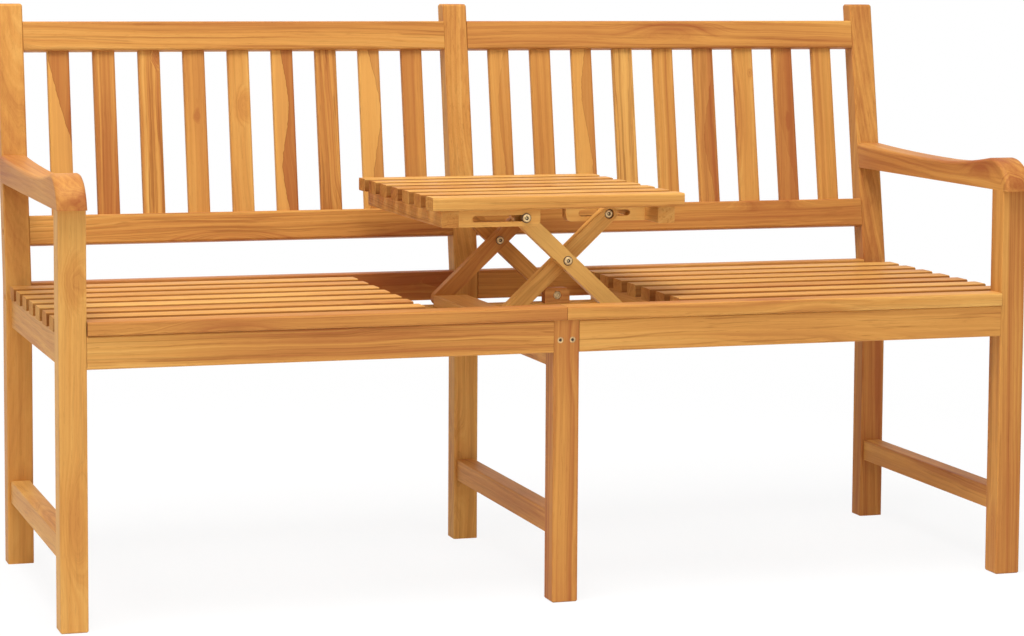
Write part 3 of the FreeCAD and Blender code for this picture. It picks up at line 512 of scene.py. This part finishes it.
# each board's own look: how brown (-0.5 to 0.5), how strong the grain, how much of a pale edge
boardLooks = {
    "back_slats_left": [(0.08, 0.8, 1.0), (0.16, 1.0, 0.0), (0.06, 1.4, 0.0), (0.2, 0.8, 0.0),
                        (0.06, 0.8, 0.0), (0.24, 1.0, 1.0), (0.1, 1.5, 0.0), (0.16, 0.9, 0.8),
                        (0.1, 0.6, 0.0)],
    "back_slats_right": [(0.12, 0.8, 0.4), (0.26, 0.7, 0.0), (0.1, 0.7, 0.7), (0.0, 1.3, 0.0),
                         (0.12, 0.9, 0.0), (0.2, 1.3, 0.4), (0.06, 0.8, 0.0), (0.52, 0.7, 0.2),
                         (0.14, 0.9, 0.0)],
    "seat_slats_left": [(-0.05, 0.9, 0.0), (0.05, 0.9, 0.0), (-0.1, 0.8, 0.0), (0.02, 1.0, 0.0),
                        (-0.04, 0.9, 0.0), (0.06, 0.9, 0.0), (0.0, 0.9, 0.0)],
    "seat_slats_right": [(-0.02, 0.9, 0.0), (0.06, 0.9, 0.0), (0.1, 0.8, 0.0), (-0.05, 1.0, 0.0),
                         (0.04, 0.9, 0.0), (0.0, 0.9, 0.0), (0.06, 0.9, 0.0)],
    "front_leg_left": (-0.2, 0.8, 0.0),
    "front_leg_centre": (0.36, 0.9, 0.0),
    "front_leg_right": (0.24, 0.9, 0.0),
    "back_post_left": (0.12, 0.7, 0.0),
    "back_post_centre": (0.16, 0.9, 0.0),
    "back_post_right": (0.28, 0.9, 0.0),
    "lower_back_rail_left": (0.12, 1.2, 0.0),
    "lower_back_rail_right": (0.26, 1.0, 0.0),
    "top_rail_left": (-0.06, 1.1, 0.0),
    "top_rail_right": (0.26, 1.0, 0.0),
    "front_seat_slat_left": (0.3, 0.9, 0.0),
    "front_seat_slat_right": (0.0, 0.9, 0.0),
    "front_apron_left": (0.08, 1.25, 0.0),
    "front_apron_right": (0.04, 1.2, 0.0),
    "back_seat_rail_left": (0.34, 1.0, 0.0),
    "back_seat_rail_right": (0.3, 1.0, 0.0),
    "arm_left": (0.36, 0.7, 0.0),
    "arm_right": (0.14, 0.8, 0.0),
    "stretcher_left": (0.1, 0.9, 0.0),
    "stretcher_centre": (0.24, 0.9, 0.0),
    "stretcher_right": (0.34, 0.9, 0.0),
    "side_seat_rail_left": (0.22, 0.9, 0.0),
    # painted light: the two front scissor legs are made paler than their wood, to offset the table top's
    # shade over them
    "outer_leg_front": (-0.55, 0.9, 0.0),
    "inner_leg_front": (-0.16, 0.9, 0.0),
    "outer_leg_rear": (0.2, 0.9, 0.0),
    "inner_leg_rear": (0.24, 0.9, 0.0),
    "slotted_rail_front_left": (-0.12, 0.7, 0.0),
    "slotted_rail_front_right": (-0.08, 0.7, 0.0),
    "pivot_block_front": (0.3, 0.8, 0.0),
    "pivot_block_rear": (0.3, 0.8, 0.0),
    "table_slat_1": (-0.2, 1.1, 0.0),
}

# oval figures: board, place across and height of the middle, half its width and height
eyeLooks = {"back_slats_left": [(4, 0.005, 0.715, 0.019, 0.036), (3, 0.001, 0.7, 0.007, 0.014),
                                (2, 0.012, 0.79, 0.009, 0.02)],
            "back_slats_right": [(7, 0.004, 0.68, 0.008, 0.02), (6, 0.012, 0.76, 0.008, 0.012)]}

# the same for single boards: place across and height, then half its width, depth and height
frontEyes = {"front_leg_left": (0.002, 0.5, (0.024, 0.2, 0.05)),
             "arm_left": (0.012, 0.615, (0.028, 0.03, 0.022)),
             "arm_right": (-0.008, 0.615, (0.026, 0.03, 0.02))}


# rows of slats, in metres, and how much painted shade darkens the front sides in the gaps between flat
# slats
slatRows = {
    "back": {"pitch": 0.0725, "width": 0.035},
    "seat": {"pitch": 0.064, "width": 0.039},
    "gapShade": 0.62,
    "frontEndShade": 1.0,      # painted shade on the slat ends in the narrow joint where the two front seat slats meet, over their darker end grain
}


def dressWood():
    picks = random.Random(20)
    back, seat = slatRows["back"], slatRows["seat"]
    for name in sorted(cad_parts):
        if name.endswith(("_bolts", "_screws")):
            continue
        low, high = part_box(name)
        seed = picks.uniform(1, 900)
        tone = picks.uniform(-0.08, 0.1)
        look = boardLooks.get(name, (tone, 1.0, 0.0))
        given = {"tone": 0.0, "seed": seed}
        if name.startswith("back_slats"):
            start = low.x - (back["pitch"] - back["width"]) / 2
            given.update(rows=(0, start, back["pitch"]), looks=look, side=-1.0, eyes=[])
            for number, aside, up, wide, tall in eyeLooks[name]:
                middle = low.x + back["width"] / 2 + back["pitch"] * number + aside
                given["eyes"].append(((middle, (low.y + high.y) / 2, up), (wide, 0.3, tall)))
        elif name.startswith("seat_slats"):
            start = low.y - (seat["pitch"] - seat["width"]) / 2
            given.update(rows=(1, start, seat["pitch"]), looks=look, gapShade=slatRows["gapShade"])
        else:
            given.update(tone=look[0], figure=look[1], twoTone=look[2])
            if name.startswith("table_slat") and name != "table_slat_1":
                given["gapShade"] = slatRows["gapShade"]
            # painted shade: the ends of the front seat slats are darkened fully, for the shade in their
            # narrow joint
            if name.startswith("front_seat_slat"):
                given["endShade"] = slatRows["frontEndShade"]
            if name in frontEyes:
                aside, up, half = frontEyes[name]
                given["eyes"] = [(((low.x + high.x) / 2 + aside, low.y, up), half)]
        paint = teakMaterial("teak_" + name, (low + high) / 2, turnOf(name), **given)
        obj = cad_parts[name]
        if not obj.material_slots:
            obj.data.materials.append(paint)
        for slot in obj.material_slots:
            slot.material = paint


dressWood()
print("wood dressed")


# Bolts: low brass heads with a six-sided recess, with painted shade in the recess and round the edge
brass = {
    "metal": srgb(214, 184, 134),
    "dull": srgb(150, 116, 74),
    # a dark brass that is painted shade, for recesses, grooves and the edges round the heads
    "paintedShade": srgb(62, 40, 24),
    "roughness": 0.34,
    "clouds": 260.0,                       # cells to the metre
    "scratches": (2600.0, 900.0, 700.0),
    "bump": (0.15, 0.0002),                # strength, then depth in metres
}


def makeBrassGroup(b):
    tree, given, result = newGroup("wornBrass", [
        ("NodeSocketVector", "Place", None), ("NodeSocketColor", "Metal", b["metal"]),
        ("NodeSocketColor", "Dull", b["dull"]), ("NodeSocketFloat", "Wear", 0.5)],
        [("NodeSocketColor", "Colour"), ("NodeSocketFloat", "Roughness"), ("NodeSocketFloat", "Height")])
    cloud = noise(tree, given["Place"], b["clouds"], 3.0, 0.6)
    scratch = noise(tree, vectors(tree, "MULTIPLY", given["Place"], b["scratches"]), 1.0, 2.0)
    worn = maths(tree, "MULTIPLY", rangeOf(tree, cloud, 0.42, 0.68), given["Wear"])
    colour = mixColours(tree, worn, given["Metal"], given["Dull"])
    tree.links.new(colour, result["Colour"])
    gloss = maths(tree, "MULTIPLY_ADD", worn, 0.3, b["roughness"])
    tree.links.new(maths(tree, "MULTIPLY_ADD", scratch, 0.1, gloss), result["Roughness"])
    tree.links.new(maths(tree, "ADD", scratch, cloud), result["Height"])
    return tree


brassGroup = makeBrassGroup(brass)


def brassMaterial(name, metal, dull, wear, metallic):
    paint = bpy.data.materials.new(name)
    paint.use_nodes = True
    tree = paint.node_tree
    surface = tree.nodes["Principled BSDF"]
    surface.inputs["Metallic"].default_value = metallic
    where = addNode(tree, "ShaderNodeTexCoord").outputs["Object"]
    worn = addNode(tree, "ShaderNodeGroup", {"Place": where, "Metal": metal, "Dull": dull, "Wear": wear},
                   node_tree=brassGroup)
    strength, depth = brass["bump"]
    bump = addNode(tree, "ShaderNodeBump", {
        "Strength": strength, "Distance": depth, "Height": worn.outputs["Height"]})
    tree.links.new(worn.outputs["Colour"], surface.inputs["Base Color"])
    tree.links.new(worn.outputs["Roughness"], surface.inputs["Roughness"])
    tree.links.new(bump.outputs[0], surface.inputs["Normal"])
    return paint


# the second paint is the dark brass of painted shade, for recesses, grooves and the edges round the
# heads
boltPaints = [
    brassMaterial("brassBright", brass["metal"], brass["dull"], wear=0.6, metallic=0.75),
    brassMaterial("brassPaintedShade", brass["paintedShade"], brass["dull"], wear=0.25, metallic=0.3),
]
bright, inShade = 0, 1     # places in that list
circle, hexagon = 0, 6   # sides of a ring


def turnedSolid(bm, rings, centre, facing, turn=0.0, around=48):
    # rings: height along facing and radius, both in millimetres, then sides and paint
    side = facing.orthogonal().normalized()
    other = facing.cross(side)
    loops = []
    for height, radius, sides, paint in rings:
        middle = centre + facing * height / 1000
        if radius == 0:
            loops.append([bm.verts.new(middle)])
            continue
        loop = []
        for step in range(around):
            angle = 2 * math.pi * step / around
            reach = radius / 1000
            if sides:
                half = math.pi / sides
                reach *= math.cos(half) / math.cos(angle % (2 * half) - half)
            angle += turn
            spoke = side * math.cos(angle) + other * math.sin(angle)
            loop.append(bm.verts.new(middle + spoke * reach))
        loops.append(loop)
    for index, (near, far) in enumerate(zip(loops, loops[1:])):
        paint = rings[index + 1][3]
        for step in range(around):
            after = (step + 1) % around
            corners = near if len(near) == 1 else [near[after], near[step]]
            corners = corners + (far if len(far) == 1 else [far[step], far[after]])
            face = bm.faces.new(corners)
            face.material_index = paint
            face.smooth = True


def makeBolts(name, node, body, parts):
    # parts: (centre, facing, rings, turn) of every turned solid in this piece
    bm = bmesh.new()
    for centre, facing, rings, turn in parts:
        turnedSolid(bm, rings, centre, facing, turn)
    bmesh.ops.recalc_face_normals(bm, faces=bm.faces)
    mesh = bpy.data.meshes.new(name)
    bm.to_mesh(mesh)
    bm.free()
    for paint in boltPaints:
        mesh.materials.append(paint)
    mesh.set_sharp_from_angle(angle=math.radians(35))
    piece = bpy.data.objects.new(name, mesh)
    bpy.context.scene.collection.objects.link(piece)
    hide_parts(node)
    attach(piece, body)
    return piece


def capRings(thick, radius, dark):
    # a low domed head: a dark edge of painted shade below, then the dome and its six-sided recess, dark
    # with painted shade inside
    dome = radius - dark
    return [
        (0.0, 0, circle, inShade),
        (0.0, radius, circle, inShade),
        (thick * 0.3, radius, circle, inShade),
        (thick * 0.34, dome, circle, inShade),
        (thick * 0.62, dome, circle, bright),
        (thick * 0.84, dome - 0.4, circle, bright),
        (thick * 0.97, dome - 1.3, circle, bright),
        (thick, 3.9, circle, bright),
        (thick * 0.97, 3.1, hexagon, bright),
        (thick * 0.9, 2.9, hexagon, inShade),
        (thick * 0.4, 2.8, hexagon, inShade),
        (thick * 0.35, 1.2, circle, inShade),
        (thick * 0.5, 0, circle, bright),
    ]


def nutRings(thick, radius):
    # a hexagon with its corners turned off, and the bolt's end in its bore, with painted shade in the
    # groove round it
    return [
        (0.0, 0, circle, inShade),
        (0.0, radius - 0.5, circle, bright),
        (0.6, radius, hexagon, bright),
        (thick - 0.6, radius, hexagon, bright),
        (thick, radius - 0.9, circle, bright),
        (thick, 4.3, circle, bright),
        (thick - 0.7, 3.9, circle, inShade),
        (thick - 0.6, 3.4, circle, bright),
        (thick - 0.2, 2.9, circle, bright),
        (thick - 0.2, 0, circle, bright),
    ]


def rodRings(length, radius):
    return [(0.0, 0, circle, inShade), (0.0, radius, circle, bright),
            (length, radius, circle, bright), (length, 0, circle, inShade)]


# millimetres: radii, then depths from a head's face to the end of head, rod and nut
boltRadii = {"head": 7.2, "edge": 1.0, "rod": 3.95, "nut": 6.7, "nutEdge": 0.8}
boltPairs = {
    "centre_pivot_bolts": {"body": "outer_frame", "head": 3.0, "rod": 40.3, "nut": (40.3, 43.8),
                           "cap": True},
    "slot_bolts": {"body": "outer_frame", "head": 3.5, "rod": 35.8, "nut": (35.8, 40.5),
                   "turn": scissorOpen},
    "table_pivot_bolts": {"body": "inner_frame", "head": 3.5, "rod": 35.8, "nut": (35.8, 39.3),
                          "cap": True},
    "fixed_pivot_bolts": {"body": "bench", "head": 3.5, "rod": 35.8, "nut": (35.8, 39.8)},
    "foot_screws": {"body": "foot", "head": 3.0, "rod": 33.0, "radius": 3.0},
}


def boltPair(name, sizes):
    low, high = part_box(name)
    parts = []
    for sign, front in ((1, low.y), (-1, high.y)):
        inward = Vector((0, sign, 0))
        face = Vector(((low.x + high.x) / 2, front, (low.z + high.z) / 2))
        head = sizes["head"]
        seat = face + inward * head / 1000
        rod = rodRings(sizes["rod"] - head, sizes.get("radius", boltRadii["rod"]))
        parts.append((seat, -inward, capRings(head, boltRadii["head"], boltRadii["edge"]), 0.0))
        parts.append((seat, inward, rod, 0.0))
        if "nut" in sizes:
            start, end = sizes["nut"]
            rings = nutRings(end - start, boltRadii["nut"])
            if sizes.get("cap"):
                rings = capRings(end - start, boltRadii["nut"], boltRadii["nutEdge"])
            turn = math.radians(sizes.get("turn", 0))
            parts.append((face + inward * start / 1000, inward, rings, turn))
    makeBolts("new_" + name, name, sizes["body"], parts)


for pairName, pairSizes in boltPairs.items():
    boltPair(pairName, pairSizes)
print("pivot bolts turned")

# Screws in the middle leg's face, and the bolts sunk in the outer posts
legScrew = {"spread": 9.5, "radius": 4.6, "sunk": 0.4, "turn": 0.3}
postBolt = {"radius": 5.0, "thick": 3.0, "edge": 0.5, "apart": 0.012}


def screwRings(radius):
    # a flat brass ring round a six-sided recess that is dark with painted shade
    return [
        (-3.0, 0, circle, inShade),
        (-3.0, radius - 1.6, circle, inShade),
        (-0.7, radius - 0.1, circle, inShade),
        (-0.35, radius, circle, bright),
        (-0.15, radius - 0.25, circle, bright),
        (-0.1, 2.6, circle, bright),
        (-0.2, 2.3, circle, bright),
        (-0.35, 2.1, hexagon, inShade),
        (-1.6, 2.0, hexagon, inShade),
        (-1.6, 0, circle, inShade),
    ]


def makeLegScrews(s):
    low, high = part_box("leg_screws")
    middle, height = (low.x + high.x) / 2, (low.z + high.z) / 2
    parts = []
    for side in (-1, 1):
        face = Vector((middle + side * s["spread"] / 1000, low.y + s["sunk"] / 1000, height))
        parts.append((face, Vector((0, -1, 0)), screwRings(s["radius"]), s["turn"] * side))
    makeBolts("new_leg_screws", "leg_screws", "bench", parts)


def makePostBolts(s):
    low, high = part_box("post_bolts")
    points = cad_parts["post_bolts"].data.vertices
    rims = sorted({(round(v.co.y, 4), round(v.co.z, 4)) for v in points if v.co.x < low.x + 0.0005})
    groups = []     # the points of one head's rim each
    for y, z in rims:
        for group in groups:
            if abs(group[0][0] - y) < s["apart"] and abs(group[0][1] - z) < s["apart"]:
                group.append((y, z))
                break
        else:
            groups.append([(y, z)])
    parts = []
    for group in groups:
        across, up = zip(*group)
        y = (min(across) + max(across)) / 2
        z = (min(up) + max(up)) / 2
        for x, facing in ((low.x, -1), (high.x, 1)):
            outward = Vector((facing, 0, 0))
            seat = Vector((x, y, z)) - outward * s["thick"] / 1000
            parts.append((seat, outward, capRings(s["thick"], s["radius"], s["edge"]), 0.0))
    makeBolts("new_post_bolts", "post_bolts", "bench", parts)


makeLegScrews(legScrew)
makePostBolts(postBolt)
print("screws and post bolts made")
